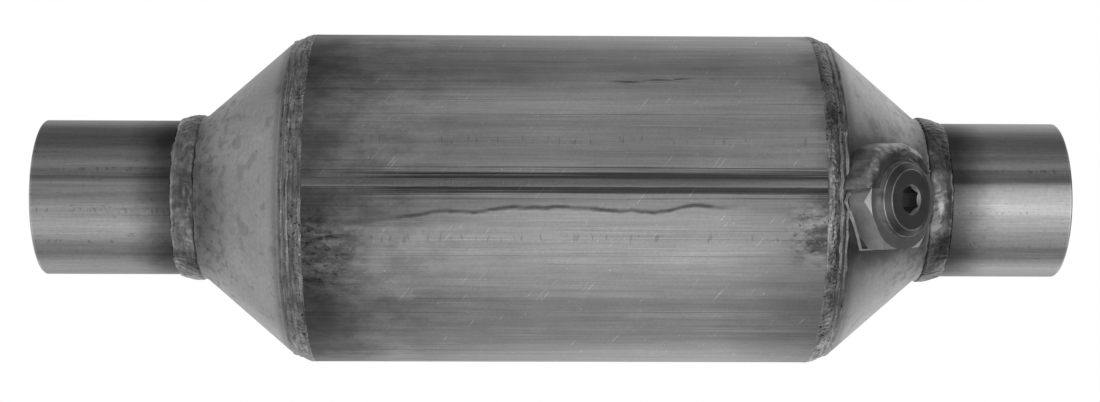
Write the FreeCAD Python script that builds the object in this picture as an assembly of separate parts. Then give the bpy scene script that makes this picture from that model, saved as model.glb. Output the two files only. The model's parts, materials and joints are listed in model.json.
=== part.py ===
import FreeCAD, Part
import math
import os

# Catalytic converter for a round exhaust line, in millimetres.
# Exhaust gas runs along +X. The origin is the centre of the inlet pipe's open end.
# +Z is up, and the sensor port on the outlet cone faces -Y.

# Pipe stubs
pipe_bore = 50.8
pipe_wall = 1.5
inlet_pipe_reach = 53.5
outlet_pipe_reach = 46.9
pipe_entry = 4.8
rim_chamfer = 0.4

# Shell: a sheet rolled to a tube, its two edges joined by a weld along the tube
shell_diameter = 114.3
shell_wall = 1.5
shell_length = 170.4
seam_angle = 5.1
seam_gap = 1.0
seam_cap_width = 3.4
seam_cap_rise = 0.35

# End cones: the lip slips into the shell, and the collar over the pipe
cone_wall = 1.5
cone_angle = 40.5
lip_insertion = 10.0
lip_show = 6.2
shoulder_radius = 8.0
neck_radius = 3.0
collar_length = 3.0

# Weld beads
body_weld_reach = 7.0
body_weld_crown = 0.9
neck_weld_on_pipe = 6.4
neck_weld_on_collar = 1.8
neck_weld_crown = 0.85
neck_weld_root = 0.3
restart_rise = 0.8
restart_span = 40.0
restart_centre = 2.0

# Ceramic bricks, with one open channel for each block of the real, finer cells
brick_diameter = 101.6
brick_length = 66.0
brick_spacing = 14.0
brick_skin = 1.6
channel_pitch = 7.62
channel_wall = 1.0

# Mats that hold the bricks, and the wire-mesh rings that shield the mats' outer ends
seal_length = 6.0
mat_setback = 3.0

# Sensor port: a hexagonal boss on the outlet cone, closed by a plug and a gasket
boss_across_flats = 31.75
boss_overhang = 0.6
boss_height = 8.6
boss_chamfer = 1.2
boss_turn = 2.0
thread_diameter = 18.0
pilot_diameter = 22.0
pilot_depth = 1.0
bead_height = 1.1
bead_lean = 0.5
heap_margin = 0.5
heap_height = 6.0
heap_shift = 1.8
heap_side = 45.0
gasket_diameter = 24.8
gasket_thickness = 1.0
plug_collar_diameter = 24.4
plug_collar_thickness = 0.7
plug_face_diameter = 19.6
plug_head_height = 2.4
plug_thread_length = 11.0
plug_end_chamfer = 1.2
socket_across_flats = 8.0
socket_depth = 7.0
socket_chamfer = 0.4

# Clearances of what slips together
slip_clearance = 0.1
thread_clearance = 0.1
packing_clearance = 0.05

# Radii and angles that follow
pipe_inner = pipe_bore / 2
pipe_outer = pipe_inner + pipe_wall
shell_outer = shell_diameter / 2
shell_inner = shell_outer - shell_wall
lip_outer = shell_inner - slip_clearance
collar_outer = pipe_outer + slip_clearance + cone_wall
weld_root = pipe_outer - neck_weld_root
slope = math.radians(cone_angle)
boss_corner = boss_across_flats / math.sqrt(3)
port_offset = boss_corner - boss_overhang

# Stations along X that follow
slope_run = (lip_outer - collar_outer) / math.tan(slope)
collar_end_x = inlet_pipe_reach
neck_corner_x = collar_end_x + collar_length
lip_corner_x = neck_corner_x + slope_run
shell_start_x = lip_corner_x + lip_show
lip_end_x = shell_start_x + lip_insertion
shell_end_x = shell_start_x + shell_length
middle_x = (shell_start_x + shell_end_x) / 2
brick_start_x = middle_x - brick_spacing / 2 - brick_length
mat_start_x = lip_end_x + seal_length
mat_end_x = middle_x - brick_spacing / 2 - mat_setback

AXIS_POINT = FreeCAD.Vector(0, 0, 0)
ALONG = FreeCAD.Vector(1, 0, 0)
UP = FreeCAD.Vector(0, 0, 1)


def at(x, radius):
    """A point of a section: x along the axis, radius away from it."""
    return FreeCAD.Vector(x, 0, radius)


def line(start, end):
    return Part.LineSegment(start, end).toShape()


def crown(start, end, rise):
    """An arc that stands out from the straight line between two points by rise."""
    chord = end - start
    outward = FreeCAD.Vector(-chord.z, 0, chord.x).normalize()
    middle = (start + end) * 0.5 + outward * rise
    return Part.Arc(start, middle, end).toShape()


def rounded_line(corners, radii):
    """Edges from the first corner to the last, the corners between them rounded."""
    edges = []
    start = corners[0]
    for before, corner, after, radius in zip(corners, corners[1:], corners[2:], radii):
        back = (before - corner).normalize()
        ahead = (after - corner).normalize()
        half_turn = (math.pi - back.getAngle(ahead)) / 2
        reach = radius * math.tan(half_turn)
        inward = (back + ahead).normalize()
        arc_start = corner + back * reach
        arc_middle = corner + inward * (radius / math.cos(half_turn) - radius)
        arc_end = corner + ahead * reach
        edges.append(line(start, arc_start))
        edges.append(Part.Arc(arc_start, arc_middle, arc_end).toShape())
        start = arc_end
    edges.append(line(start, corners[-1]))
    return edges


def outline(points):
    """Straight edges through the points, back to the first."""
    return [line(a, b) for a, b in zip(points, points[1:] + points[:1])]


def turned(edges, degrees=360):
    """The solid swept by a closed section around the X axis."""
    section = Part.Face(Part.Wire(Part.__sortEdges__(edges)))
    return section.revolve(AXIS_POINT, ALONG, degrees)


def ring(start_x, end_x, inner, outer):
    return turned(outline([at(start_x, inner), at(start_x, outer), at(end_x, outer), at(end_x, inner)]))


def mirrored(shape):
    """The same piece at the other end of the shell."""
    return shape.mirror(at(middle_x, 0), ALONG)


def hexagon(across_flats, turn):
    """A hexagonal wire around Z, with a corner at the angle turn."""
    corner_radius = across_flats / math.sqrt(3)
    corners = []
    for step in range(6):
        angle = math.radians(turn + 60 * step)
        corners.append(FreeCAD.Vector(math.cos(angle), math.sin(angle), 0) * corner_radius)
    return Part.makePolygon(corners + corners[:1])


def hexagon_prism(across_flats, height, turn):
    return Part.Face(hexagon(across_flats, turn)).extrude(UP * height)


# ---- Pipes ----


def pipe_stub(reach):
    """The inlet pipe: its outer rim broken, and a shallow groove where the weld melted in."""
    open_x = collar_end_x - reach
    toe_x = collar_end_x - neck_weld_on_pipe
    inner_x = collar_end_x + pipe_entry
    points = [
        at(open_x, pipe_inner),
        at(open_x, pipe_outer - rim_chamfer),
        at(open_x + rim_chamfer, pipe_outer),
        at(toe_x, pipe_outer),
        at(toe_x, weld_root),
        at(collar_end_x, weld_root),
        at(collar_end_x, pipe_outer),
        at(inner_x, pipe_outer),
        at(inner_x, pipe_inner),
    ]
    return turned(outline(points))


# ---- End cones ----


def cone_line(depth):
    """The inlet cone's section line, from lip to collar, at a depth inside its outer face."""
    shift = depth * math.tan(slope / 2)
    corners = [
        at(lip_end_x, lip_outer - depth),
        at(lip_corner_x + shift, lip_outer - depth),
        at(neck_corner_x + shift, collar_outer - depth),
        at(collar_end_x, collar_outer - depth),
    ]
    return rounded_line(corners, [shoulder_radius - depth, neck_radius + depth])


def end_cone():
    lip_edge = line(at(lip_end_x, lip_outer), at(lip_end_x, lip_outer - cone_wall))
    collar_edge = line(at(collar_end_x, collar_outer), at(collar_end_x, collar_outer - cone_wall))
    return turned(cone_line(0) + [collar_edge] + cone_line(cone_wall) + [lip_edge])


def cone_core():
    """Everything inside the inlet cone's outer face, as a tool for shaping what sits on it."""
    ends = [
        line(at(collar_end_x, collar_outer), at(collar_end_x, 0)),
        line(at(collar_end_x, 0), at(lip_end_x, 0)),
        line(at(lip_end_x, 0), at(lip_end_x, lip_outer)),
    ]
    return turned(cone_line(0) + ends)


# ---- Shell and its seam ----


def seam_box(width, inner, outer):
    """A bar along the shell, as wide as the seam or its cap, from one radius to another."""
    bar = Part.makeBox(shell_length, outer - inner, width)
    bar.translate(FreeCAD.Vector(shell_start_x, -outer, -width / 2))
    bar.rotate(AXIS_POINT, ALONG, -seam_angle)
    return bar


def shell_tube():
    tube = ring(shell_start_x, shell_end_x, shell_inner, shell_outer)
    return tube.cut(seam_box(seam_gap, shell_inner - shell_wall, shell_outer + shell_wall))


def shell_seam_weld():
    """The bead fills the gap between the sheet's edges, with a low cap over both."""
    cap_outer = shell_outer + seam_cap_rise
    filler = ring(shell_start_x, shell_end_x, shell_inner, shell_outer)
    filler = filler.common(seam_box(seam_gap, shell_inner - shell_wall, shell_outer + shell_wall))
    cap = ring(shell_start_x, shell_end_x, shell_outer, cap_outer)
    cap = cap.common(seam_box(seam_cap_width, shell_inner, cap_outer + seam_cap_rise))
    return filler.fuse(cap).removeSplitter()


# ---- Welds around the shell and pipes ----


def body_weld():
    """Fillet from the inlet end of the shell down to the cone's shoulder."""
    toe_x = shell_start_x - body_weld_reach
    round_centre_x = lip_corner_x + shoulder_radius * math.tan(slope / 2)
    round_centre_radius = lip_outer - shoulder_radius
    toe_radius = round_centre_radius + math.sqrt(shoulder_radius**2 - (round_centre_x - toe_x) ** 2)
    toe = at(toe_x, toe_radius)
    edge = at(shell_start_x, shell_outer)
    section = [
        crown(toe, edge, body_weld_crown),
        line(edge, at(shell_start_x, round_centre_radius)),
        line(at(shell_start_x, round_centre_radius), at(toe_x, round_centre_radius)),
        line(at(toe_x, round_centre_radius), toe),
    ]
    return turned(section).cut(cone_core())


def neck_weld_section(rise):
    toe_x = collar_end_x - neck_weld_on_pipe
    start = at(toe_x, pipe_outer)
    end = at(collar_end_x + neck_weld_on_collar, collar_outer)
    return [
        crown(start, end, rise),
        line(end, at(collar_end_x, collar_outer)),
        line(at(collar_end_x, collar_outer), at(collar_end_x, weld_root)),
        line(at(collar_end_x, weld_root), at(toe_x, weld_root)),
        line(at(toe_x, weld_root), start),
    ]


def inlet_neck_weld():
    return turned(neck_weld_section(neck_weld_crown))


def outlet_neck_weld():
    """The bead around the outlet pipe, thicker where its end runs over its start."""
    lap = turned(neck_weld_section(neck_weld_crown + restart_rise), restart_span)
    lap.rotate(AXIS_POINT, ALONG, 90 - restart_centre - restart_span / 2)
    return mirrored(inlet_neck_weld().fuse(lap).removeSplitter())


# ---- Bricks, mats and seals ----


def brick():
    """A ceramic brick at the inlet end, its open channels running right through."""
    solid = ring(brick_start_x, brick_start_x + brick_length, 0, brick_diameter / 2)
    channel = channel_pitch - channel_wall
    limit = brick_diameter / 2 - brick_skin
    rows = int(limit // channel_pitch)
    channels = []
    for row in range(-rows, rows + 1):
        for column in range(-rows, rows + 1):
            y = row * channel_pitch
            z = column * channel_pitch
            if math.hypot(abs(y) + channel / 2, abs(z) + channel / 2) < limit:
                corner = FreeCAD.Vector(brick_start_x, y - channel / 2, z - channel / 2)
                channels.append(Part.makeBox(brick_length, channel, channel, corner))
    return solid.cut(Part.makeCompound(channels))


def mat():
    inner = brick_diameter / 2 + packing_clearance
    return ring(mat_start_x, mat_end_x, inner, shell_inner - packing_clearance)


def end_seal():
    """A ring around the brick's outer edge, between the cone's lip and the mat."""
    inner = brick_diameter / 2 + packing_clearance
    return ring(lip_end_x, mat_start_x, inner, shell_inner - packing_clearance)


# ---- Sensor port, each piece made on Z with the cone's surface at zero ----


def on_outlet_cone(shape):
    """Moves a piece of the port to its place, standing square on the outlet cone."""
    x = 2 * middle_x - lip_corner_x + port_offset * math.cos(slope)
    radius = lip_outer - port_offset * math.sin(slope)
    outward = FreeCAD.Vector(math.sin(slope), -math.cos(slope), 0)
    towards_shell = FreeCAD.Vector(-math.cos(slope), -math.sin(slope), 0)
    turn = FreeCAD.Rotation(towards_shell, outward.cross(towards_shell), outward, "ZXY")
    place = FreeCAD.Placement(FreeCAD.Vector(x, -radius, 0), turn)
    placed = shape.copy()
    placed.Placement = place.multiply(shape.Placement)
    return placed


def port_hole():
    hole = Part.makeCylinder(pilot_diameter / 2 + slip_clearance, 4 * boss_height)
    hole.translate(UP * -2 * boss_height)
    return on_outlet_cone(hole)


def boss_blank(foot):
    """The hexagonal bar of the boss, from a depth below the cone's surface to its face."""
    blank = hexagon_prism(boss_across_flats, boss_height + foot, boss_turn)
    blank.translate(UP * -foot)
    return blank


def boss_chamfer_tool():
    """A double cone that breaks the hexagon's corners at its face and its foot."""
    cut_back = boss_chamfer / math.tan(math.radians(30))
    lower = Part.makeCone(boss_corner - cut_back, boss_corner, boss_chamfer)
    middle = Part.makeCylinder(boss_corner, boss_height - 2 * boss_chamfer)
    middle.translate(UP * boss_chamfer)
    upper = Part.makeCone(boss_corner, boss_corner - cut_back, boss_chamfer)
    upper.translate(UP * (boss_height - boss_chamfer))
    foot = Part.makeCylinder(boss_corner - cut_back, boss_height)
    foot.translate(UP * -boss_height)
    return lower.fuse([middle, upper, foot])


def sensor_bung(core):
    """The boss is shaped to the cone, and its pilot drops into the cone's hole."""
    boss = on_outlet_cone(boss_blank(boss_height / 2).common(boss_chamfer_tool())).cut(core)
    pilot_length = cone_wall + pilot_depth + boss_height / 2
    pilot = Part.makeCylinder(pilot_diameter / 2, pilot_length)
    pilot.translate(UP * -(cone_wall + pilot_depth))
    bore = Part.makeCylinder(thread_diameter / 2, 4 * boss_height)
    bore.translate(UP * -2 * boss_height)
    return boss.fuse(on_outlet_cone(pilot)).cut(on_outlet_cone(bore)).removeSplitter()


def bead_skirt():
    """The low bead on all six sides, leaning in from under the cone's surface to the boss."""
    rims = []
    for height in (-boss_height / 2, 2 * bead_height):
        across_flats = boss_across_flats + 2 * bead_lean * (bead_height - height)
        rim = hexagon(across_flats, boss_turn)
        rim.translate(UP * height)
        rims.append(rim)
    return Part.makeLoft(rims, True, True)


def bead_heap():
    """A tapered collar of weld around the boss, shifted to the side where the weld is heaped."""
    top = boss_across_flats / 2
    base = boss_corner + heap_margin
    collar = Part.makeCone(2 * base - top, top, 2 * heap_height)
    side = math.radians(-heap_side)
    collar.translate(FreeCAD.Vector(math.cos(side) * heap_shift, math.sin(side) * heap_shift, -heap_height))
    return collar


def sensor_bung_weld(core):
    """The bead around the boss, heaped on the side that is above it and towards the shell."""
    bead = bead_skirt().fuse(bead_heap())
    bead = bead.cut(boss_blank(2 * heap_height))
    over_shell = ring(shell_start_x, shell_end_x, 0, shell_outer + boss_height)
    return on_outlet_cone(bead).cut(core).cut(over_shell)


def plug_gasket():
    outer = Part.makeCylinder(gasket_diameter / 2, gasket_thickness)
    inner = Part.makeCylinder(thread_diameter / 2, gasket_thickness)
    gasket = outer.cut(inner)
    gasket.translate(UP * boss_height)
    return on_outlet_cone(gasket)


def port_plug():
    """A threaded plug: low tapered head, hexagon socket, and a plain shank for its thread."""
    seat = boss_height + gasket_thickness
    face = seat + plug_head_height
    collar = seat + plug_collar_thickness
    tip = seat - plug_thread_length
    shank = thread_diameter / 2 - thread_clearance
    head_edge = plug_face_diameter / 2
    profile = [
        FreeCAD.Vector(0, 0, tip),
        FreeCAD.Vector(shank - plug_end_chamfer, 0, tip),
        FreeCAD.Vector(shank, 0, tip + plug_end_chamfer),
        FreeCAD.Vector(shank, 0, seat),
        FreeCAD.Vector(plug_collar_diameter / 2, 0, seat),
        FreeCAD.Vector(plug_collar_diameter / 2, 0, collar),
        FreeCAD.Vector(head_edge, 0, face),
        FreeCAD.Vector(0, 0, face),
    ]
    body = Part.Face(Part.makePolygon(profile + profile[:1])).revolve(AXIS_POINT, UP, 360)
    socket = hexagon_prism(socket_across_flats, socket_depth, 90)
    socket.translate(UP * (face - socket_depth))
    mouth = socket_across_flats / math.sqrt(3) + socket_chamfer
    countersink = Part.makeCone(0, mouth, mouth)
    countersink.translate(UP * (face - mouth))
    return on_outlet_cone(body.cut(socket).cut(countersink))


# ---- The assembly, one named piece to a file ----


def assembly():
    inlet_cone = end_cone()
    outlet_core = mirrored(cone_core())
    bung = sensor_bung(outlet_core)
    outlet_body_weld = mirrored(body_weld())
    bung_weld = sensor_bung_weld(outlet_core).cut(outlet_body_weld)
    return {
        "inlet_pipe": pipe_stub(inlet_pipe_reach),
        "outlet_pipe": mirrored(pipe_stub(outlet_pipe_reach)),
        "inlet_cone": inlet_cone,
        "outlet_cone": mirrored(inlet_cone).cut(port_hole()),
        "shell_tube": shell_tube(),
        "shell_seam_weld": shell_seam_weld(),
        "inlet_body_weld": body_weld(),
        "outlet_body_weld": outlet_body_weld.cut(bung),
        "inlet_neck_weld": inlet_neck_weld(),
        "outlet_neck_weld": outlet_neck_weld(),
        "front_brick": brick(),
        "rear_brick": mirrored(brick()),
        "front_mat": mat(),
        "rear_mat": mirrored(mat()),
        "front_end_seal": end_seal(),
        "rear_end_seal": mirrored(end_seal()),
        "sensor_bung": bung,
        "sensor_bung_weld": bung_weld,
        "plug_gasket": plug_gasket(),
        "port_plug": port_plug(),
    }


os.makedirs("parts", exist_ok=True)
for name, shape in assembly().items():
    if not shape.isValid() or len(shape.Solids) != 1:
        raise ValueError(f"{name} has {len(shape.Solids)} solids, valid: {shape.isValid()}")
    box = shape.BoundBox
    print(f"{name:18} {shape.Volume / 1000:8.2f} cm3  X {box.XMin:7.2f} to {box.XMax:7.2f}")
    shape.exportStep(f"parts/{name}.step")
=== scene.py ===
import bmesh
import bpy
import json
import math
from mathutils import Matrix, Vector, bvhtree, geometry, noise


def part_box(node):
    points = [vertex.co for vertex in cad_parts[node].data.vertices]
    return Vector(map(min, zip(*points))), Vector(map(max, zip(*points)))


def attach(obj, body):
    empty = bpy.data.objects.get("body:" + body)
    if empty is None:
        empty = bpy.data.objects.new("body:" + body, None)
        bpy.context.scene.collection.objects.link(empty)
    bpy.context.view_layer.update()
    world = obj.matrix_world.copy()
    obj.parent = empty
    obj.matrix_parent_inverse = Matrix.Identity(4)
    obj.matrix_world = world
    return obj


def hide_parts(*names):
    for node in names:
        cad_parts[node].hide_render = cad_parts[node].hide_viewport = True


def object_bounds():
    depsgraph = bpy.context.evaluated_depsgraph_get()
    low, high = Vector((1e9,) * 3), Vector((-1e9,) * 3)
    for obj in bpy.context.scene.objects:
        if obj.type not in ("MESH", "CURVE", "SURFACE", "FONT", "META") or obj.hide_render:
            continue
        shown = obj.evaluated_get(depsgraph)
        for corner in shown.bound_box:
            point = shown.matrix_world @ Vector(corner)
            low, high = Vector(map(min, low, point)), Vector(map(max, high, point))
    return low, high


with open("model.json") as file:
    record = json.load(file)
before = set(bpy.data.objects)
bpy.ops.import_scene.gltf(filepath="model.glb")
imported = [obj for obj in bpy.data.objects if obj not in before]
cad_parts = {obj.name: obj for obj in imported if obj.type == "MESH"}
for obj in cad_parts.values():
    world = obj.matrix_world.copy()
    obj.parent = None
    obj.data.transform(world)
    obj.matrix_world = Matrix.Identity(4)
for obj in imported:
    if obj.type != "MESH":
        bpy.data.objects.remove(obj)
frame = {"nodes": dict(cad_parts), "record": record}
cad_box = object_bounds()
nodes = frame["nodes"]
scene = bpy.context.scene
MM = 0.001

# ---- Stations read from the frame, in metres ----

shell_low, shell_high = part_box("shell_tube")
inlet_weld_low, inlet_weld_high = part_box("inlet_neck_weld")
outlet_weld_low, outlet_weld_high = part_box("outlet_neck_weld")
body_weld_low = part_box("inlet_body_weld")[0]
gasket_low, gasket_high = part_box("plug_gasket")
brick_low, brick_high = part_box("front_brick")
rear_brick_low, rear_brick_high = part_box("rear_brick")
middle_x = (shell_low.x + shell_high.x) / 2
outlet_end_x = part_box("outlet_pipe")[1].x
shell_radius = shell_high.z
pipe_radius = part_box("inlet_pipe")[1].z

# ---- Sizes that the frame's boxes don't give, as the CAD model has them ----

seam_angle = math.radians(5.1)
cone_slope = math.radians(40.5)
boss_height = 8.6 * MM
boss_flat = 31.75 / 2 * MM
boss_turn = math.radians(2.0)
gasket_half = 0.5 * MM

# The sensor port stands square on the outlet cone and faces -Y
port_axis = Vector((math.sin(cone_slope), -math.cos(cone_slope), 0))
port_up_cone = Vector((-math.cos(cone_slope), -math.sin(cone_slope), 0))
port_centre = (gasket_low + gasket_high) / 2
port_foot = port_centre - port_axis * (boss_height + gasket_half)

# ---- Where the photograph shows the welds' ends and heap ----

weld_start = math.radians(23.5)  # the outlet body weld's start, round the long axis from -Y
lap_turn = math.radians(-2.0)  # the outlet neck weld's lap, round the long axis from -Y
lap_reach = math.radians(21.0)  # from the lap's middle to either end
heap_turn = math.radians(-80.0)  # the middle of the heap on the port's weld, from straight up the cone
heap_reach = math.radians(76.0)  # from the heap's middle to either end
heap_radius = 12.8 * MM  # how near the heap comes to the port's axis


# ---- Node graphs ----


class Graph:
    """The nodes of a material or world. Each call adds a node and gives back its result socket."""

    def __init__(self, owner):
        owner.use_nodes = True
        self.owner = owner
        self.tree = owner.node_tree
        self.tree.nodes.clear()

    def node(self, kind, inputs, **settings):
        node = self.tree.nodes.new(kind)
        for key, value in settings.items():
            setattr(node, key, value)
        for key, value in inputs.items():
            if isinstance(value, bpy.types.NodeSocket):
                self.tree.links.new(value, node.inputs[key])
            else:
                node.inputs[key].default_value = value
        return node

    def maths(self, operation, a, b=0.0):
        return self.node("ShaderNodeMath", {0: a, 1: b}, operation=operation).outputs[0]

    def vector_maths(self, operation, output, inputs):
        return self.node("ShaderNodeVectorMath", inputs, operation=operation).outputs[output]

    def add(self, a, b):
        return self.maths("ADD", a, b)

    def take(self, a, b):
        return self.maths("SUBTRACT", a, b)

    def times(self, a, b):
        return self.maths("MULTIPLY", a, b)

    def product(self, *values):
        result = values[0]
        for value in values[1:]:
            result = self.times(result, value)
        return result

    def centred(self, value, gain):
        """A noise value turned to a factor round one."""
        return self.lift(self.add(value, -0.5), gain)

    def lift(self, mask, gain):
        """A factor: one where the mask is none, one and the gain where it is one."""
        return self.add(self.times(mask, gain), 1.0)

    def ragged(self, value, noise_value, depth):
        """A length, moved by noise over depth from end to end."""
        return self.add(value, self.times(self.add(noise_value, -0.5), depth))

    def position(self):
        return self.node("ShaderNodeTexCoord", {}).outputs["Object"]

    def split(self, vector):
        return self.node("ShaderNodeSeparateXYZ", {0: vector}).outputs

    def scaled(self, vector, scale, shift=(0, 0, 0)):
        inputs = {"Vector": vector, "Scale": scale, "Location": shift}
        return self.node("ShaderNodeMapping", inputs).outputs[0]

    def sized(self, vector, sizes, shift=(0, 0, 0)):
        """Coordinates in which features of these sizes, in metres, are one unit."""
        return self.scaled(vector, [1 / size for size in sizes], shift)

    def noise(self, vector, size, detail=3.0, roughness=0.55, distortion=0.0):
        inputs = {"Vector": vector, "Scale": 1 / size, "Detail": detail, "Roughness": roughness,
                  "Distortion": distortion}
        return self.node("ShaderNodeTexNoise", inputs).outputs[0]

    def streaks(self, place, along, across, detail=3.0, shift=0.0):
        """Noise drawn out along the axis: along and across are its sizes in metres."""
        return self.noise(self.sized(place, (along, across, across), (shift, shift, shift)), 1.0, detail)

    def cells(self, vector, size):
        inputs = {"Vector": vector, "Scale": 1 / size}
        return self.node("ShaderNodeTexVoronoi", inputs, feature="F1").outputs[0]

    def span(self, value, low, high, start=0.0, end=1.0):
        """A soft step: start where value is low or less, end where it is high or more."""
        inputs = {"Value": value, "From Min": low, "From Max": high, "To Min": start, "To Max": end}
        return self.node("ShaderNodeMapRange", inputs, interpolation_type="SMOOTHSTEP").outputs[0]

    def near(self, value, centre, reach):
        """One at the centre, softly down to none at reach to either side."""
        away = self.maths("ABSOLUTE", self.take(value, centre))
        return self.span(away, 0.0, reach, 1.0, 0.0)

    def mix(self, share, a, b):
        inputs = {"Factor": share, "A": a, "B": b}
        return self.node("ShaderNodeMix", inputs, data_type="FLOAT").outputs[0]

    def ramp(self, share, low_colour, high_colour):
        node = self.node("ShaderNodeValToRGB", {"Fac": share})
        for element, colour in zip(node.color_ramp.elements, (low_colour, high_colour)):
            element.color = colour
        return node.outputs[0]

    def angle(self, parts):
        """The angle around the long axis, none at -Y and growing towards +Z."""
        front = self.times(parts[1], -1.0)
        return self.maths("ARCTAN2", parts[2], front)

    def from_middle(self, x):
        """How far along the axis a point is from the can's middle, either way."""
        return self.maths("ABSOLUTE", self.add(x, -middle_x))

    def port_radius(self, place):
        """The distance from the sensor port's axis."""
        offset = self.vector_maths("SUBTRACT", 0, {0: place, 1: tuple(port_centre)})
        along = self.vector_maths("DOT_PRODUCT", "Value", {0: offset, 1: tuple(port_axis)})
        shadow = self.vector_maths("SCALE", 0, {0: tuple(port_axis), "Scale": along})
        flat = self.vector_maths("SUBTRACT", 0, {0: offset, 1: shadow})
        return self.vector_maths("LENGTH", "Value", {0: flat})

    def finish(self, tone, roughness, height, bump, distance, metallic=1.0):
        """The shader and the output. distance is the bump's height in metres."""
        bumps = {"Height": height, "Strength": bump, "Distance": distance}
        normal = self.node("ShaderNodeBump", bumps).outputs[0]
        inputs = {"Base Color": tone, "Roughness": roughness, "Metallic": metallic, "Normal": normal}
        shader = self.node("ShaderNodeBsdfPrincipled", inputs)
        output = self.node("ShaderNodeOutputMaterial", {"Surface": shader.outputs[0]})
        output.is_active_output = True
        return self.owner


def new_graph(name):
    return Graph(bpy.data.materials.new(name))


# ---- Steel finishes ----


def shell_heat_tint(graph, place, x, off):
    """Heat tint: long and dark at the inlet end, short at the outlet end, both ragged."""
    patches = graph.noise(graph.scaled(place, (0.5, 1, 1)), 9 * MM, 4.0)
    from_inlet = graph.ragged(graph.add(x, -shell_low.x), patches, 26 * MM)
    from_outlet = graph.ragged(graph.take(shell_high.x, x), patches, 26 * MM)
    below = graph.span(off, -26 * MM, -4 * MM, 1.0, 0.0)
    inlet_above = graph.span(from_inlet, -2 * MM, 24 * MM, 0.46, 0.84)
    inlet_below = graph.span(from_inlet, -2 * MM, 30 * MM, 0.30, 0.80)
    outlet_above = graph.span(from_outlet, -4 * MM, 8 * MM, 0.62, 1.08)
    outlet_below = graph.span(from_outlet, -6 * MM, 40 * MM, 0.52, 0.95)
    long_tint = graph.span(x, shell_low.x, shell_low.x + 95 * MM, 0.85, 1.28)
    inlet_tint = graph.mix(below, inlet_above, inlet_below)
    outlet_tint = graph.mix(below, outlet_above, outlet_below)
    return graph.product(inlet_tint, outlet_tint, long_tint)


def seam_halo(graph, place, x, off):
    """The seam's dark halo: fine lines on both sides of the cap, fading at the inlet end."""
    arc = graph.maths("ABSOLUTE", off)
    wobbly = graph.ragged(arc, graph.streaks(place, 26 * MM, 3 * MM, 2.0, 1.3), 1.6 * MM)
    lines = graph.span(graph.streaks(place, 150 * MM, 0.55 * MM, 2.0, 27.0), 0.36, 0.62, -0.2 * MM, 2.3 * MM)
    halo = graph.span(graph.add(wobbly, lines), 3.2 * MM, 6.4 * MM, 0.20, 1.0)
    reach = graph.span(x, shell_low.x + 4 * MM, shell_low.x + 34 * MM)
    return graph.mix(reach, 0.9, halo)


def shell_scuffs(graph, place, x, off):
    """Dark scuffed lines: one long and wavy below the seam, where the tone steps, one broken above it."""
    low_line = -8.4 * MM
    top_line = 37.5 * MM
    wave = graph.times(graph.add(graph.streaks(place, 24 * MM, 60 * MM, 3.0, 5.5), -0.5), 7 * MM)
    bow = graph.span(x, shell_low.x + 14 * MM, shell_low.x + 64 * MM, 3.8 * MM, 0.0)
    bowed = graph.add(graph.add(off, wave), bow)
    low_span = graph.times(graph.span(x, shell_low.x + 12 * MM, shell_low.x + 50 * MM, 0.25, 1.0),
                           graph.span(x, shell_high.x - 42 * MM, shell_high.x - 26 * MM, 1.0, 0.0))
    broken = graph.span(graph.streaks(place, 9 * MM, 3 * MM, 3.0, 15.0), 0.42, 0.56)
    low = graph.product(graph.near(bowed, low_line, 1.3 * MM), low_span, graph.mix(0.3, 1.0, broken))
    top_span = graph.times(graph.span(x, shell_low.x + 95 * MM, shell_low.x + 108 * MM),
                           graph.span(x, shell_high.x - 38 * MM, shell_high.x - 30 * MM, 1.0, 0.0))
    flecks = graph.span(graph.streaks(place, 16 * MM, 0.9 * MM, 4.0, 17.0), 0.47, 0.58)
    top = graph.near(graph.add(off, graph.times(wave, 0.6)), top_line, 2.4 * MM)
    top = graph.product(top, top_span, flecks)
    scuffs = graph.times(graph.span(low, 0.0, 1.0, 1.0, 0.34), graph.span(top, 0.0, 1.0, 1.0, 0.35))
    step = graph.span(bowed, low_line - 1.2 * MM, low_line + 0.8 * MM, 1.0, 0.76)
    return step, scuffs


def shell_scorch(graph, place, x, off):
    """Scorch, spatter and crumbs by both welds below the seam, clouds at the inlet end, faint ticks."""
    inlet_zone = graph.times(graph.span(x, shell_low.x + 4 * MM, shell_low.x + 26 * MM, 1.0, 0.0),
                             graph.near(off, -24 * MM, 22 * MM))
    outlet_zone = graph.times(graph.span(x, shell_high.x - 16 * MM, shell_high.x - 4 * MM),
                              graph.near(off, -16 * MM, 15 * MM))
    zone = graph.maths("MINIMUM", graph.times(graph.add(inlet_zone, outlet_zone), 1.6), 1.0)
    drawn_out = graph.scaled(place, (0.6, 1, 1))
    patches = graph.noise(graph.scaled(place, (0.45, 1, 1)), 5 * MM, 6.0, 0.72)
    burn = graph.mix(zone, 1.0, graph.span(patches, 0.38, 0.62, 0.42, 1.25))
    cloudy = graph.span(x, shell_low.x + 10 * MM, shell_low.x + 75 * MM, 1.0, 0.0)
    clouds = graph.span(graph.noise(drawn_out, 7 * MM, 6.0, 0.68), 0.35, 0.65, 0.82, 1.24)
    spatter = graph.span(graph.cells(place, 2.4 * MM), 0.06, 0.12, 1.9, 1.0)
    crumbs = graph.span(graph.noise(drawn_out, 1.5 * MM, 3.0, 0.6), 0.57, 0.62, 1.0, 0.55)
    dashes = graph.noise(graph.sized(place, (1.2 * MM, 5 * MM, 5 * MM), (4, 4, 4)), 1.0, 1.0)
    rows = graph.add(graph.near(off, 14.2 * MM, 2.4 * MM), graph.near(off, -18.5 * MM, 3.4 * MM))
    ticks = graph.span(graph.times(graph.span(dashes, 0.62, 0.70), rows), 0.0, 1.0, 1.0, 0.74)
    return graph.product(burn, graph.mix(cloudy, 1.0, clouds), graph.mix(zone, 1.0, spatter),
                         graph.mix(zone, 1.0, crumbs), ticks)


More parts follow.
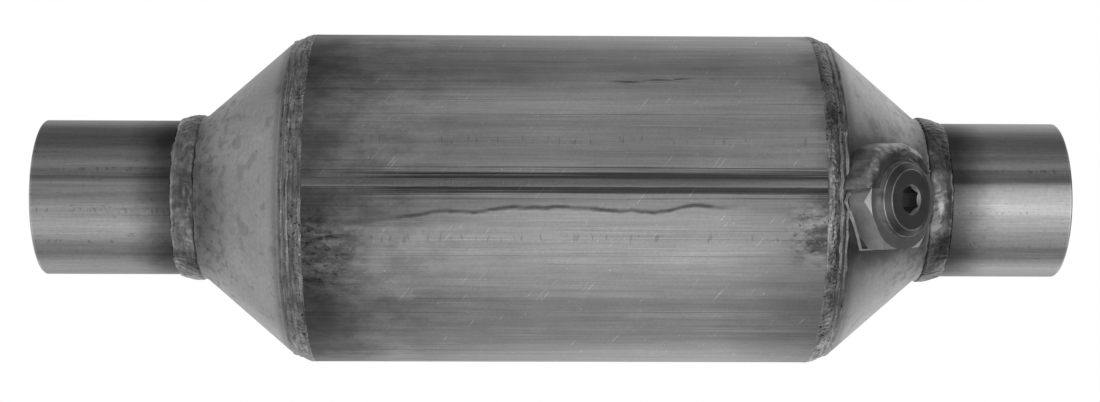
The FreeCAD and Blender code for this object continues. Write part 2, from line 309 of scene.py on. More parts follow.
def shell_lines(graph, place):
    """Drawn lines: thin dark ones all round, a few bright ones, slanting nicks and bright specks."""
    dark_line = graph.span(graph.streaks(place, 220 * MM, 0.7 * MM, 1.0, 21.0), 0.68, 0.74, 1.0, 0.66)
    bright_line = graph.span(graph.streaks(place, 60 * MM, 0.35 * MM, 1.0, 33.0), 0.72, 0.78, 1.0, 1.35)
    turned = graph.node("ShaderNodeVectorRotate", {"Vector": place, "Angle": 0.9}, rotation_type="Y_AXIS")
    nick = graph.noise(graph.sized(turned.outputs[0], (9 * MM, 9 * MM, 0.5 * MM)), 1.0, 1.0)
    nick = graph.span(nick, 0.73, 0.77, 1.0, 1.5)
    specks = graph.span(graph.cells(place, 4.2 * MM), 0.035, 0.07, 1.6, 1.0)
    return dark_line, bright_line, nick, specks


def shell_steel():
    """Rolled sheet with long grain. off is the distance round the can from the seam, upwards."""
    graph = new_graph("shell_steel")
    place = graph.position()
    parts = graph.split(place)
    x = parts[0]
    off = graph.times(graph.add(graph.angle(parts), -seam_angle), shell_radius)
    broad = graph.streaks(place, 130 * MM, 6 * MM, 2.0)
    medium = graph.streaks(place, 70 * MM, 1.8 * MM, 3.0, 3.1)
    fine = graph.streaks(place, 30 * MM, 0.45 * MM, 3.0, 7.7)
    mottle = graph.noise(place, 16 * MM, 4.0)
    grain = graph.noise(place, 0.9 * MM, 3.0, 0.6)
    tone = graph.product(0.60, graph.centred(broad, 0.55), graph.centred(medium, 0.45),
                         graph.centred(fine, 0.65), graph.centred(mottle, 0.40), graph.centred(grain, 0.34))

    # Painted shade: under the seam the sheet is darker towards both ends, and lower down a painted highlight
    # band brightens it
    depth = graph.span(graph.from_middle(x), 15 * MM, 70 * MM, -0.16, -0.36)
    shade = graph.lift(graph.near(off, -9 * MM, 12 * MM), depth)
    painted_low_highlight = graph.lift(graph.near(off, -48 * MM, 11 * MM), 0.22)
    step, scuffs = shell_scuffs(graph, place, x, off)
    tone = graph.product(tone, shell_heat_tint(graph, place, x, off), seam_halo(graph, place, x, off), step,
                         shell_scorch(graph, place, x, off), scuffs, *shell_lines(graph, place), shade, painted_low_highlight)
    roughness = graph.add(graph.times(graph.add(medium, mottle), 0.12), 0.30)
    height = graph.add(graph.times(fine, 0.6), graph.times(medium, 0.8))
    return graph.finish(tone, roughness, height, 0.35, 0.08 * MM)


def pipe_steel():
    """Drawn tube: long grain, painted reflection bands of light and dark round it with painted shade at its top
    and foot, dark by the weld, a bright rim.
    """
    graph = new_graph("pipe_steel")
    place = graph.position()
    parts = graph.split(place)
    x = parts[0]
    broad = graph.streaks(place, 110 * MM, 5 * MM, 2.0, 4.0)
    medium = graph.streaks(place, 60 * MM, 1.2 * MM, 3.0, 9.0)
    fine = graph.streaks(place, 24 * MM, 0.4 * MM, 3.0, 2.0)
    grain = graph.noise(place, 1.1 * MM, 3.0, 0.6)
    tone = graph.product(0.60, graph.centred(broad, 0.6), graph.centred(medium, 0.5), graph.centred(fine, 0.55),
                         graph.centred(grain, 0.34))

    # Painted reflection bands and painted shade round the tube, at angles in radians
    turn = graph.ragged(graph.angle(parts), medium, 0.12)
    painted_top_shade = graph.span(turn, 0.16, 0.34, 1.0, 0.58)
    painted_foot_shade = graph.span(turn, -1.40, -0.95, 0.42, 1.0)
    painted_dark_band = graph.times(graph.near(turn, 0.25, 0.09), -0.45)
    painted_light_band = graph.times(graph.near(turn, 0.44, 0.10), 0.40)
    painted_bands = graph.add(graph.add(painted_dark_band, painted_light_band), 1.0)
    smudge = graph.span(graph.streaks(place, 3 * MM, 0.8 * MM, 4.0, 12.0), 0.60, 0.70, 1.0, 0.8)

    # Heat tint by the weld, and three rows of faint ticks
    to_weld = graph.maths("MAXIMUM", graph.take(inlet_weld_low.x, x), graph.take(x, outlet_weld_high.x))
    to_weld = graph.ragged(to_weld, graph.noise(place, 8 * MM, 3.0), 8 * MM)
    tint = graph.span(to_weld, 0 * MM, 17 * MM, 0.26, 1.0)
    dashes = graph.noise(graph.sized(place, (1 * MM, 3 * MM, 3 * MM)), 1.0, 2.0)
    lower_rows = graph.add(graph.near(turn, -0.16, 0.06), graph.near(turn, -0.60, 0.06))
    rows = graph.add(graph.near(turn, 0.36, 0.05), lower_rows)
    ticks = graph.span(graph.times(graph.span(dashes, 0.56, 0.66), rows), 0.0, 1.0, 1.0, 0.68)
    from_end = graph.maths("MINIMUM", x, graph.take(outlet_end_x, x))
    rim = graph.span(from_end, 0.3 * MM, 1.2 * MM, 1.35, 1.0)
    tone = graph.product(tone, painted_top_shade, painted_bands, painted_foot_shade, tint, ticks, smudge, rim)
    roughness = graph.add(graph.times(medium, 0.16), 0.24)
    height = graph.add(graph.times(fine, 0.6), graph.times(medium, 0.8))
    return graph.finish(tone, roughness, height, 0.35, 0.06 * MM)


def cone_steel():
    """Satin spun cone: clouds, spots and dots, darker by the neck, the can and the sensor port."""
    graph = new_graph("cone_steel")
    place = graph.position()
    parts = graph.split(place)
    x = parts[0]
    cloud = graph.noise(place, 16 * MM, 4.0)
    grain = graph.noise(place, 1.2 * MM, 4.0)
    fine = graph.noise(place, 0.35 * MM, 2.0)
    spots = graph.span(graph.noise(place, 7 * MM, 2.0, 0.4), 0.60, 0.70, 1.0, 0.80)
    dots = graph.span(graph.noise(place, 1.6 * MM, 2.0), 0.69, 0.73, 1.0, 0.62)
    spin = graph.noise(graph.sized(place, (0.8 * MM, 60 * MM, 60 * MM)), 1.0, 3.0)
    tone = graph.product(0.68, graph.centred(cloud, 0.6), graph.centred(grain, 0.42), graph.centred(fine, 0.26),
                         spots, dots, graph.centred(spin, 0.16))

    # Stained and darker by the neck, most of all at the front
    from_middle = graph.from_middle(x)
    neck = middle_x - inlet_weld_high.x
    ragged = graph.ragged(from_middle, cloud, 12 * MM)
    front = graph.near(graph.angle(parts), -0.15, 0.95)
    neck_tint = graph.mix(front, graph.span(ragged, neck - 10 * MM, neck - 1.5 * MM, 1.0, 0.68),
                          graph.span(ragged, neck - 18 * MM, neck - 3 * MM, 1.0, 0.42))
    stain = graph.span(graph.noise(place, 3.2 * MM, 4.0, 0.6), 0.50, 0.60, 1.0, 0.72)
    stain = graph.mix(graph.span(ragged, neck - 24 * MM, neck - 5 * MM, 0.0, 1.0), 1.0, stain)

    # By the can a dark band with a light edge, and on the outlet cone scorch and soot round the port
    from_shoulder = graph.take(from_middle, middle_x - body_weld_low.x)
    shoulder_tint = graph.span(from_shoulder, 0.2 * MM, 4.5 * MM, 0.55, 1.0)
    light_edge = graph.lift(graph.near(from_shoulder, 0.9 * MM, 0.5 * MM), 0.35)
    scorched = graph.mix(front, graph.span(from_shoulder, 0.5 * MM, 13 * MM, 0.85, 1.0),
                         graph.span(from_shoulder, 0.5 * MM, 13 * MM, 0.60, 1.0))
    from_port = graph.ragged(graph.port_radius(place), graph.noise(place, 6 * MM, 3.0), 9 * MM)
    soot = graph.span(from_port, 17 * MM, 27 * MM, 0.45, 1.0)
    on_outlet = graph.span(x, middle_x - 1 * MM, middle_x + 1 * MM)
    port_tint = graph.mix(on_outlet, 1.0, graph.times(soot, scorched))
    tone = graph.product(tone, neck_tint, stain, shoulder_tint, light_edge, port_tint)
    roughness = graph.add(graph.times(cloud, 0.15), 0.34)
    return graph.finish(tone, roughness, grain, 0.3, 0.05 * MM)


def seam_weld():
    graph = new_graph("seam_weld")
    place = graph.position()
    long = graph.streaks(place, 30 * MM, 1.2 * MM, 3.0, 2.0)
    grain = graph.noise(place, 0.5 * MM, 4.0, 0.65)
    tone = graph.product(0.26, graph.centred(long, 0.8), graph.centred(grain, 0.5))
    return graph.finish(tone, graph.add(graph.times(grain, 0.3), 0.25), grain, 0.5, 0.1 * MM)


def weld_metal(name, level, patch_size, patchy, flowing, grainy):
    """Weld metal: patches, lines that flow along the bead, grain, pits and painted glints.

    patchy and flowing are how far the patches and lines swing the tone, and grainy is the
    strength of the grain, pits and painted glints, one at full strength.
    """
    graph = new_graph(name)
    place = graph.position()
    parts = graph.split(place)
    angle = graph.angle(parts)
    x = parts[0]
    patch = graph.span(graph.noise(place, patch_size, 4.0, 0.5), 0.33, 0.68, 1 - patchy, 1 + patchy)
    grain = graph.noise(place, 0.5 * MM, 4.0, 0.65)
    pits = graph.span(graph.noise(place, 1.0 * MM, 2.0), 0.62, 0.70, 1.0, 1 - 0.9 * grainy)
    # Painted glints: random bright spots on the bead
    painted_glints = graph.span(graph.noise(place, 0.7 * MM, 1.0), 0.66, 0.74, 1.0, 1 + 1.2 * grainy)
    along = graph.times(x, 1 / (1.1 * MM))
    wrapped = graph.node("ShaderNodeCombineXYZ", {0: along, 1: graph.times(angle, 7.0)})
    flow = graph.span(graph.noise(wrapped.outputs[0], 1.0, 4.0, 0.6), 0.35, 0.65, 1 - flowing, 1 + flowing)
    tone = graph.product(level, patch, flow, graph.centred(grain, 0.7 * grainy), pits, painted_glints)

    # The outlet neck is sooty but for its lap, and the outlet body weld past its start
    from_lap = graph.maths("ABSOLUTE", graph.add(angle, -lap_turn))
    neck_tint = graph.span(from_lap, 0.30, 0.42, 1.25, 0.50)
    on_neck = graph.span(x, outlet_weld_low.x - 1 * MM, outlet_weld_low.x, 0.0, 1.0)
    past_start = graph.span(angle, weld_start - 0.01, weld_start + 0.01, 1.0, 0.62)
    on_outlet = graph.span(x, middle_x, middle_x + 1 * MM, 0.0, 1.0)
    on_body = graph.times(on_outlet, graph.take(1.0, on_neck))
    tone = graph.product(tone, graph.mix(on_neck, 1.0, neck_tint), graph.mix(on_body, 1.0, past_start))

    # On the necks a bright toe on the pipe, and painted shade in the crease against the cone
    from_middle = graph.from_middle(x)
    toe = graph.near(from_middle, middle_x - inlet_weld_low.x - 0.7 * MM, 0.6 * MM)
    painted_crease_shade = graph.near(from_middle, middle_x - inlet_weld_high.x + 0.1 * MM, 1.1 * MM)
    tone = graph.product(tone, graph.lift(toe, 0.55), graph.lift(painted_crease_shade, -0.6))
    roughness = graph.add(graph.times(grain, 0.3), 0.20)
    return graph.finish(tone, roughness, grain, 0.2 + 0.3 * grainy, 0.1 * MM)


def machined_steel(name, tone_level, roughness_level, groove, bump, rims, dark_from=None):
    """Turned or milled steel of the sensor port: rings round the port's axis and fine grain.

    rims are radii where an edge gets a painted highlight, and past the radius dark_from it is sooty.
    """
    graph = new_graph(name)
    place = graph.position()
    radius = graph.port_radius(place)
    rings = graph.maths("SINE", graph.times(radius, 2 * math.pi / groove))
    patch = graph.noise(place, 5 * MM, 3.0)
    grain = graph.noise(place, 0.6 * MM, 4.0, 0.6)
    tone = graph.product(tone_level, graph.centred(patch, 0.6), graph.centred(grain, 0.4))
    if dark_from:
        tone = graph.times(tone, graph.span(radius, dark_from, dark_from + 0.2 * MM, 1.0, 0.36))
    # A painted highlight along each rim
    for rim in rims:
        painted_rim_highlight = graph.times(graph.near(radius, rim, 0.26 * MM), graph.span(patch, 0.3, 0.7, 0.5, 1.6))
        tone = graph.add(tone, graph.times(painted_rim_highlight, 0.32))
    roughness = graph.add(graph.times(grain, 0.2), roughness_level)
    height = graph.add(graph.times(rings, 0.3), grain)
    return graph.finish(tone, roughness, height, bump, 0.06 * MM)


def ceramic_cells():
    graph = new_graph("ceramic_cells")
    place = graph.position()
    cloud = graph.noise(place, 9 * MM, 4.0)
    grain = graph.noise(place, 0.5 * MM, 3.0)
    share = graph.times(graph.add(cloud, grain), 0.5)
    tone = graph.ramp(share, (0.30, 0.25, 0.19, 1), (0.62, 0.55, 0.45, 1))
    return graph.finish(tone, 0.85, grain, 0.4, 0.1 * MM, metallic=0.0)


def fibre_mat():
    graph = new_graph("fibre_mat")
    place = graph.position()
    fibres = graph.noise(graph.scaled(place, (1, 3, 3)), 0.8 * MM, 4.0, 0.6, 1.2)
    tone = graph.ramp(fibres, (0.42, 0.39, 0.33, 1), (0.82, 0.79, 0.70, 1))
    return graph.finish(tone, 0.95, fibres, 0.8, 0.2 * MM, metallic=0.0)


def wire_mesh():
    graph = new_graph("wire_mesh")
    loops = graph.cells(graph.position(), 1 * MM)
    tone = graph.span(loops, 0.1, 0.7, 0.55, 0.12)
    return graph.finish(tone, 0.45, loops, 0.9, 0.4 * MM)


materials = {
    "pipe_steel": pipe_steel(),
    "cone_steel": cone_steel(),
    "shell_steel": shell_steel(),
    "seam_weld": seam_weld(),
    "weld_metal": weld_metal("weld_metal", 0.34, 6 * MM, 0.22, 0.35, 1.0),
    "neck_weld_metal": weld_metal("neck_weld_metal", 0.34, 7 * MM, 0.40, 0.22, 0.35),
    "bung_weld_metal": weld_metal("bung_weld_metal", 0.40, 5 * MM, 0.22, 0.0, 0.35),
    "ceramic_cells": ceramic_cells(),
    "fibre_mat": fibre_mat(),
    "wire_mesh": wire_mesh(),
    "machined_steel": machined_steel("machined_steel", 0.68, 0.34, 0.7 * MM, 0.25, ()),
    "plug_steel": machined_steel("plug_steel", 0.34, 0.28, 0.5 * MM, 0.4, (9.75 * MM, 12.1 * MM), 9.9 * MM),
    "gasket_steel": machined_steel("gasket_steel", 0.13, 0.4, 0.6 * MM, 0.5, (12.35 * MM,)),
}
slot_of = {part["node"]: part["material_slot"] for part in frame["record"]["subparts"]}
for node_name, node in nodes.items():
    node.material_slots[0].material = materials[slot_of[node_name]]


# ---- Mesh pieces ----


def piece(name, vertices, faces, slot, *replaced, material=None):
    """A smooth-shaded piece in the row frame that rides with the converter."""
    mesh = bpy.data.meshes.new(name)
    mesh.from_pydata(vertices, [], faces)
    mesh.validate()
    mesh.polygons.foreach_set("use_smooth", [True] * len(mesh.polygons))
    mesh.update()
    made = bpy.data.objects.new(name, mesh)
    scene.collection.objects.link(made)
    made.data.materials.append(materials[material or slot])
    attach(made, "root")
    if replaced:
        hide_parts(*replaced)
    return made


def rough(point, size, octaves=3):
    """Fractal noise about none, for a point in metres and a feature size in metres.

    A whole number of metres added to x gives another noise of the same kind.
    """
    return noise.fractal(Vector(point) / size, 0.9, 2.1, octaves)


def grid_faces(around, across):
    """Quads of a closed grid: rows run around the ring, columns around its section."""
    faces = []
    for row in range(around):
        after = (row + 1) % around
        for column in range(across):
            beside = (column + 1) % across
            faces.append((row * across + column, row * across + beside, after * across + beside,
                          after * across + column))
    return faces


def ring_bead(name, replaced, material, start, end, shape, wander, across, around, sink):
    """A weld bead around the long axis, between two (x, radius) points of its section.

    shape(turn, t, spot) is how far it stands out at the angle turn and the share t of its
    width, and its toes wander along the axis by about wander.
    """
    vertices = []
    start = Vector(start)
    end = Vector(end)
    chord = end - start
    outward = Vector((-chord.y, chord.x)).normalized()
    if outward.y < 0:
        outward = -outward
    mean_radius = (start.y + end.y) / 2
    for row in range(around):
        turn = 2 * math.pi * row / around
        direction = Vector((0, -math.cos(turn), math.sin(turn)))
        seat = direction * mean_radius
        shift_start = wander * rough((start.x, seat.y, seat.z), 5 * MM)
        shift_end = 0.5 * wander * rough((end.x + 1, seat.y, seat.z), 3 * MM)
        sections = []
        for step in range(across - 2):
            t = step / (across - 3)
            point = start.lerp(end, t)
            point.x += shift_start * (1 - t) + shift_end * t
            spot = (point.x, direction.y * point.y, direction.z * point.y)
            moved = point + outward * shape(turn, t, spot)
            moved.y = min(moved.y, bead_limit)
            sections.append(moved)
        sections.append(sections[-1] - outward * sink)
        sections.append(sections[0] - outward * sink)
        for section in sections:
            vertices.append((section.x, direction.y * section.y, direction.z * section.y))
    faces = grid_faces(around, across)
    if start.x > end.x:
        faces = [face[::-1] for face in faces]
    return piece(name, vertices, faces, "weld_metal", replaced, material=material)


def hump(t, low, high):
    """A rounded crown between two shares of the bead's width, none outside them."""
    share = (t - low) / (high - low)
    if share <= 0 or share >= 1:
        return 0.0
    return math.sqrt(1 - (2 * share - 1) ** 2)


def body_bead_shape(turn, t, spot):
    """A grainy crown along the shell's edge, and two thin ridges on the cone's side of it."""
    x, y, z = spot
    swell = 1 + 0.35 * rough((x + 2, y, z), 9 * MM)
    drift = 0.05 * rough((x + 7, y, z), 6 * MM)
    height = 0.10 * MM
    height += 0.62 * MM * swell * hump(t, 0.42 + drift, 1.04)
    height += 0.30 * MM * hump(t, 0.20 + drift, 0.38 + drift)
    height += 0.24 * MM * hump(t, -0.06, 0.12)
    crown = hump(t, 0.40, 1.06)
    height += 0.11 * MM * rough(spot, 1.0 * MM) * (0.25 + crown)
    phase = turn * shell_radius / (2.1 * MM) + rough((x + 3, y, z), 6 * MM) + 0.5 * (2 * t - 1) ** 2
    height += 0.05 * MM * crown * math.sin(2 * math.pi * phase)
    pit = rough((x + 5, y, z), 0.9 * MM, 2)
    height -= 0.3 * MM * crown * max(0.0, pit - 0.40)

    # The outlet weld starts with a lump, and a dip beside it
    if x > middle_x:
        away = (turn - weld_start + math.pi) % (2 * math.pi) - math.pi
        height += 0.45 * MM * math.exp(-(away * shell_radius / (1.3 * MM)) ** 2) * (0.5 + rough(spot, 1.5 * MM))
        height -= 0.40 * MM * math.exp(-((away * shell_radius - 2.6 * MM) / (0.9 * MM)) ** 2)
    return height


def neck_bead_shape(turn, t, spot):
    """A lumpy, smooth bead with a sharp step at both toes."""
    x, y, z = spot
    step = min(1.0, 14 * t + 0.15, 14 * (1 - t) + 0.15)
    height = 0.34 * MM * step + 0.42 * MM * math.sin(math.pi * t)
    height += 0.34 * MM * rough((x, y, z), 8 * MM) * step
    height += 0.08 * MM * rough((x + 4, y, z), 2.8 * MM) * step
    height += 0.02 * MM * rough(spot, 0.9 * MM)
    lip = hump(t, 0.0, 0.12) * (0.6 + 0.8 * rough((x + 9, y, z), 5 * MM))
    height += 0.16 * MM * max(0.0, lip)
    phase = turn * pipe_radius / (2.8 * MM) + rough((x + 3, y, z), 7 * MM) + 0.6 * (2 * t - 1) ** 2
    height += 0.05 * MM * step * math.sin(2 * math.pi * phase)
    return height


def lapped_bead_shape(turn, t, spot):
    """The outlet neck bead: its end is heaped over its start, at the front."""
    away = math.remainder(turn - lap_turn, 2 * math.pi)
    side = max(0.0, 1 - (away / lap_reach) ** 2)
    return neck_bead_shape(turn, t, spot) + 0.8 * MM * math.sqrt(side) * math.sin(math.pi * t)


def toe_radius_of(node_name):
    """The radius of a ring's outer edge at its -X end."""
    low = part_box(node_name)[0]
    node = nodes[node_name]
    points = [node.matrix_world @ vertex.co for vertex in node.data.vertices]
    return max(math.hypot(p.y, p.z) for p in points if p.x < low.x + 0.05 * MM)


def at_outlet(point):
    """An inlet bead's (x, radius) point, mirrored to the outlet end."""
    return 2 * middle_x - point[0], point[1]


bead_limit = cad_box[1].z - 0.02 * MM  # the beads stay inside the CAD model's outline
body_toe = (body_weld_low.x, toe_radius_of("inlet_body_weld"))
body_edge = (shell_low.x + 0.4 * MM, shell_radius - 0.35 * MM)
neck_toe = (inlet_weld_low.x, pipe_radius)
neck_edge = (inlet_weld_high.x, toe_radius_of("inlet_cone"))
body_bead = {"shape": body_bead_shape, "wander": 0.35 * MM, "across": 40, "around": 1400, "sink": 0.6 * MM}
neck_bead = {"wander": 0.6 * MM, "across": 36, "around": 800, "sink": 0.7 * MM}
ring_bead("inlet_body_bead", "inlet_body_weld", "weld_metal", body_toe, body_edge, **body_bead)
ring_bead("outlet_body_bead", "outlet_body_weld", "weld_metal", at_outlet(body_toe), at_outlet(body_edge),
          **body_bead)
ring_bead("inlet_neck_bead", "inlet_neck_weld", "neck_weld_metal", neck_toe, neck_edge, neck_bead_shape,
          **neck_bead)
ring_bead("outlet_neck_bead", "outlet_neck_weld", "neck_weld_metal", at_outlet(neck_toe), at_outlet(neck_edge),
          lapped_bead_shape, **neck_bead)


def seam_bead():
    """The low cap over the shell's seam, finely rippled, its edges let into the sheet."""
    half_width = 1.55 * MM
    end_gap = 0.2 * MM
    ripple = 0.9 * MM
    length = shell_high.x - shell_low.x - 2 * end_gap
    along = 560
    across = 16
    width = across + 2
    vertices = []
    for row in range(along + 1):
        x = shell_low.x + end_gap + length * row / along
        spread = half_width * (1 + 0.06 * rough((x, 0, 0), 6 * MM))
        for column in range(width):
            t = 2 * column / across - 1 if column <= across else 0
            turn = seam_angle + t * spread / shell_radius
            crest = 0.30 * MM * (1 - t ** 4)
            crest += 0.03 * MM * math.sin(2 * math.pi * (x / ripple + 0.6 * t * t)) * (1 - t * t)
            crest += 0.03 * MM * rough((x, t * half_width, 3), 1.0 * MM) * (1 - t * t)
            radius = shell_radius + crest

            # Both edges lie just under the sheet, and the last column is the foot
            if column in (0, across):
                radius = shell_radius - 0.1 * MM
            if column == across + 1:
                radius = shell_radius - 0.5 * MM
            vertices.append((x, -math.cos(turn) * radius, math.sin(turn) * radius))
    faces = []
    for row in range(along):
        for column in range(width):
            beside = (column + 1) % width
            faces.append((row * width + column, (row + 1) * width + column, (row + 1) * width + beside,
                          row * width + beside))
    faces.append(tuple(range(width)))
    faces.append(tuple(along * width + column for column in reversed(range(width))))
    return piece("seam_bead", vertices, faces, "seam_weld", "shell_seam_weld")


seam_bead()


def port_ground():
    """The cone and the body weld that the port stands on, for rays to be cast at."""
    vertices = []
    faces = []
    for node_name in ("outlet_cone", "outlet_body_weld"):
        node = nodes[node_name]
        first = len(vertices)
        vertices += [node.matrix_world @ vertex.co for vertex in node.data.vertices]
        faces += [tuple(first + index for index in polygon.vertices) for polygon in node.data.polygons]
    return bvhtree.BVHTree.FromPolygons(vertices, faces)


def surface_below(ground, point):
    """The first point of the ground along the port's axis, from over a point near its foot."""
    hit = ground.ray_cast(point + port_axis * 12 * MM, -port_axis)[0]
    return point if hit is None else hit


def heap_share(turn):
    """None away from the heap, one along its top and soft at both ends."""
    away = abs(math.remainder(turn - heap_turn, 2 * math.pi)) / heap_reach
    share = min(1.0, max(0.0, 1 - away) * 6)
    return share * share * (3 - 2 * share)


def bung_bead():
    """The weld around the boss: a thin fillet, heaped from its left corner over its top.

    Where it is heaped it also laps over the boss's edge, and its section fills out from a
    hollow fillet to a full round.
    """
    leg = 0.7 * MM
    rise = 0.25 * MM  # how far the heap stands above the boss
    level_at = 0.8  # the heap's share from which it is level with its top and begins to lap
    spill = 6.0 * MM  # how far the heap reaches out past its lap's edge
    let_in = 0.5 * MM
    around = 900
    across = 22
    ground = port_ground()
    port_down = port_axis.cross(port_up_cone)
    ring = []
    for row in range(around):
        turn = 2 * math.pi * row / around
        direction = port_up_cone * math.cos(turn) + port_down * math.sin(turn)
        from_flat = (turn - boss_turn) % math.radians(60) - math.radians(30)
        wall = boss_flat / math.cos(from_flat)
        heap = heap_share(turn)
        seat = surface_below(ground, port_foot + direction * wall)
        swell = 1 + 0.18 * rough(seat, 7 * MM)
        top = (port_foot - seat).dot(port_axis) + boss_height + rise
        leg_up = leg * swell + (top - leg * swell) * min(1.0, heap / level_at)
        lap = (wall - heap_radius) * max(0.0, heap - level_at) / (1 - level_at)
        reach = (heap_radius + spill + 0.3 * (wall - boss_flat) - wall) * min(1.0, 2 * heap)
        leg_out = max(leg, reach * swell)
        toe = surface_below(ground, port_foot + direction * (wall + leg_out))
        upper = seat + port_axis * leg_up - direction * lap
        corner = upper - port_axis * (upper - toe).dot(port_axis)
        power = 2 / (1.2 + 2.8 * heap)
        for step in range(across - 2):
            t = step / (across - 3)
            out = math.sin(math.pi / 2 * t) ** power
            up = abs(math.cos(math.pi / 2 * t)) ** power
            point = corner + (toe - corner) * out + (upper - corner) * up
            edge = min(1.0, 8 * t + 0.1, 8 * (1 - t) + 0.1)
            lumps = 0.30 * MM * rough(point, 4.5 * MM) * (0.3 + heap)
            crest = edge * (lumps + 0.03 * MM * rough(point, 0.9 * MM))
            point = point + (direction * out + port_axis * up).normalized() * crest + direction * 0.02 * MM
            point.y = max(point.y, cad_box[0].y + 0.02 * MM)
            ring.append(point)
        ring.append(toe - port_axis * let_in)
        ring.append(seat - port_axis * let_in - direction * 0.3 * MM)
    faces = [face[::-1] for face in grid_faces(around, across)]
    return piece("sensor_bung_bead", [tuple(point) for point in ring], faces, "weld_metal", "sensor_bung_weld",
                 material="bung_weld_metal")


bung_bead()


def honeycomb(name, low, high, replaced):
    """A 400-cell brick: square channels 1.27 mm apart in a round block with a solid skin."""
    pitch = 1.27 * MM
    wall = 0.17 * MM
    skin = 0.9 * MM
    rim_steps = 180
    merge_distance = 1e-7
    radius = high.z
    limit = radius - skin
    half = (pitch - wall) / 2
    count = int(limit / pitch) + 1

    # The face's outlines: the squares that fit inside the skin, and the rim
    flat = []
    edges = []
    squares = []
    for row in range(-count, count + 1):
        for column in range(-count, count + 1):
            y = row * pitch
            z = column * pitch
            if math.hypot(abs(y) + half, abs(z) + half) < limit:
                square = tuple(range(len(flat), len(flat) + 4))
                flat += [Vector((y - half, z - half)), Vector((y + half, z - half)),
                         Vector((y + half, z + half)), Vector((y - half, z + half))]
                edges += zip(square, square[1:] + square[:1])
                squares.append(square)
    rim = tuple(range(len(flat), len(flat) + rim_steps))
    for step in range(rim_steps):
        turn = 2 * math.pi * step / rim_steps
        flat.append(Vector((math.cos(turn) * radius, math.sin(turn) * radius)))
    edges += zip(rim, rim[1:] + rim[:1])
    result = geometry.delaunay_2d_cdt(flat, edges, [], 0, merge_distance)
    points, triangles = result[0], result[2]

    # The face is kept but for the triangles in the channels
    kept = []
    for triangle in triangles:
        middle = (points[triangle[0]] + points[triangle[1]] + points[triangle[2]]) / 3
        y = middle.x - round(middle.x / pitch) * pitch
        z = middle.y - round(middle.y / pitch) * pitch
        cell = math.hypot(abs(middle.x - y) + half, abs(middle.y - z) + half) < limit
        inside = cell and abs(y) < half and abs(z) < half
        if not inside and middle.length < radius:
            kept.append(tuple(triangle))

    # Both faces, the channels' walls and the outside
    total = len(points)
    vertices = [(low.x, p.x, p.y) for p in points] + [(high.x, p.x, p.y) for p in points]
    faces = [t[::-1] for t in kept]
    faces += [tuple(index + total for index in t) for t in kept]
    for square in squares:
        faces += [(b, a, a + total, b + total) for a, b in zip(square, square[1:] + square[:1])]
    faces += [(a, b, b + total, a + total) for a, b in zip(rim, rim[1:] + rim[:1])]
    made = piece(name, vertices, faces, "ceramic_cells", replaced)
    made.data.polygons.foreach_set("use_smooth", [False] * len(made.data.polygons))
    return made


honeycomb("front_honeycomb", brick_low, brick_high, "front_brick")
honeycomb("rear_honeycomb", rear_brick_low, rear_brick_high, "rear_brick")


# ---- Stage, light and camera ----


def studio_floor():
    """Pale paper that glows a little and fades away outwards, unseen by the metal."""
    radius = 1.35
    drop = 0.25
    graph = new_graph("studio_floor")
    place = graph.position()
    distance = graph.vector_maths("LENGTH", "Value", {0: place})
    tone = graph.add(graph.times(graph.noise(place, 1 / 6, 2.0), 0.03), 0.84)
    paper = graph.node("ShaderNodeBsdfPrincipled", {"Base Color": tone, "Roughness": 0.9})
    glow = graph.node("ShaderNodeEmission", {"Color": (1, 1, 1, 1), "Strength": 0.48})
    lit_paper = graph.node("ShaderNodeAddShader", {0: paper.outputs[0], 1: glow.outputs[0]})
    clear = graph.node("ShaderNodeBsdfTransparent", {})
    fade = graph.span(distance, 0.8, 1.3)
    mixed = graph.node("ShaderNodeMixShader", {0: fade, 1: lit_paper.outputs[0], 2: clear.outputs[0]})
    graph.node("ShaderNodeOutputMaterial", {"Surface": mixed.outputs[0]})
    mesh = bpy.data.meshes.new("studio_floor")
    form = bmesh.new()
    bmesh.ops.create_circle(form, cap_ends=True, segments=96, radius=radius)
    form.to_mesh(mesh)
    form.free()
    floor = bpy.data.objects.new("studio_floor", mesh)
    floor.location = (middle_x, 0, -drop)
    mesh.materials.append(graph.owner)
    scene.collection.objects.link(floor)
    floor.visible_glossy = False


def lobe(graph, direction, aim, wide, narrow, power):
    """Light round an aim: none outside the angle wide, full inside the angle narrow, in degrees."""
    facing = graph.vector_maths("DOT_PRODUCT", "Value", {0: direction, 1: tuple(Vector(aim).normalized())})
    return graph.span(facing, math.cos(math.radians(wide)), math.cos(math.radians(narrow)), 0.0, power)


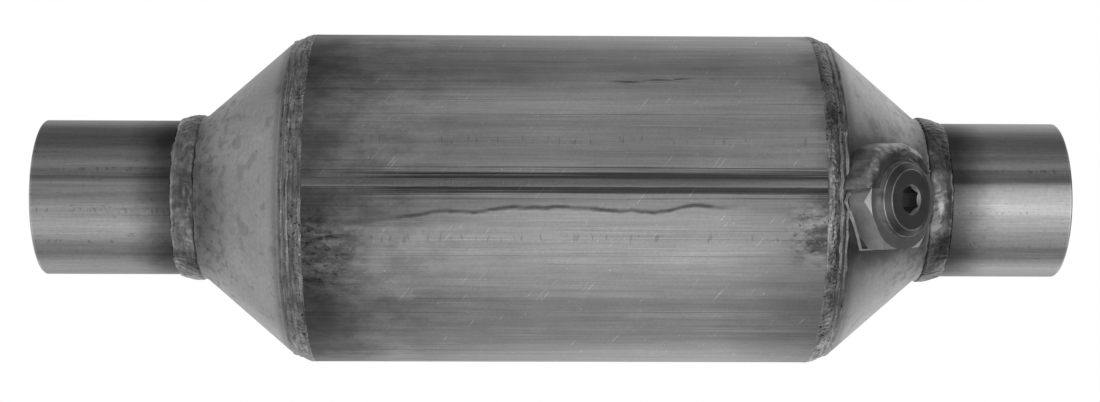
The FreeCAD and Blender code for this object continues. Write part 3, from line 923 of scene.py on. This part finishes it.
def studio_light():
    """A dim room with pale patches for the metal to mirror, and a strip light overhead.

    The camera itself sees white.
    """
    world = bpy.data.worlds.new("studio")
    scene.world = world
    graph = Graph(world)
    direction = graph.node("ShaderNodeTexCoord", {}).outputs["Generated"]
    strength = 0.17
    for aim, wide, narrow, power in (
        # Behind the object, in line with the camera
        ((0, 1, 0.1), 58, 18, 0.36),
        ((0, 0.75, -0.65), 42, 10, 0.28),
        # Below and in front
        ((0, -0.1, -1), 60, 25, 0.10),
        ((0, -0.8, -0.65), 42, 12, 0.42),
        ((0.45, -1, -0.1), 32, 8, 0.75),
        ((0, -0.75, 0.65), 45, 15, 0.17),
        # To the left and to the right
        ((-1, -0.1, 0), 60, 20, 0.24),
        ((1, -0.1, 0), 50, 20, -0.09),
        # The four upper and lower corners behind
        ((0.6, 0.65, 0.62), 38, 12, 0.36),
        ((0.6, 0.65, -0.62), 38, 12, 0.40),
        ((-0.6, 0.65, 0.62), 38, 12, 0.03),
        ((-0.6, 0.65, -0.62), 38, 12, 0.22),
    ):
        strength = graph.add(lobe(graph, direction, aim, wide, narrow, power), strength)
    room = graph.node("ShaderNodeBackground", {"Color": (1, 1, 1, 1), "Strength": strength})
    paper = graph.node("ShaderNodeBackground", {"Color": (1, 1, 1, 1), "Strength": 1.0})
    seen = graph.node("ShaderNodeLightPath", {}).outputs["Is Camera Ray"]
    mixed = graph.node("ShaderNodeMixShader", {0: seen, 1: room.outputs[0], 2: paper.outputs[0]})
    graph.node("ShaderNodeOutputWorld", {"Surface": mixed.outputs[0]})

    strip = bpy.data.lights.new("overhead_strip", "AREA")
    strip.shape = "RECTANGLE"
    strip.size = 0.62
    strip.size_y = 0.09
    strip.energy = 0.40
    lamp = bpy.data.objects.new("overhead_strip", strip)
    lamp.location = (middle_x, -0.52, 1.25)
    aim = Vector((middle_x, 0, 0)) - lamp.location
    lamp.rotation_euler = aim.to_track_quat("-Z", "Y").to_euler()
    scene.collection.objects.link(lamp)


def studio_camera():
    """The photograph's view: level, nearly square to the object's side and close to it."""
    yaw = math.radians(0.9)
    roll = math.radians(0.2)
    distance = 0.670
    aside = 0.7 * MM
    target = Vector((176.4 * MM, 0, -0.8 * MM))
    forward = Vector((math.sin(yaw), math.cos(yaw), 0))
    right = Vector((math.cos(yaw), -math.sin(yaw), 0))
    data = bpy.data.cameras.new("camera")
    data.sensor_width = 36
    data.lens = 62.36
    data.clip_start = 0.01
    data.clip_end = 50
    camera = bpy.data.objects.new("camera", data)
    level = Matrix.Rotation(-yaw, 4, "Z") @ Matrix.Rotation(math.radians(90), 4, "X")
    stand = Matrix.Translation(target - forward * distance - right * aside)
    camera.matrix_world = stand @ level @ Matrix.Rotation(roll, 4, "Z")
    scene.collection.objects.link(camera)
    scene.camera = camera


studio_floor()
studio_light()
studio_camera()
scene.view_settings.view_transform = "Standard"
scene.view_settings.look = "None"
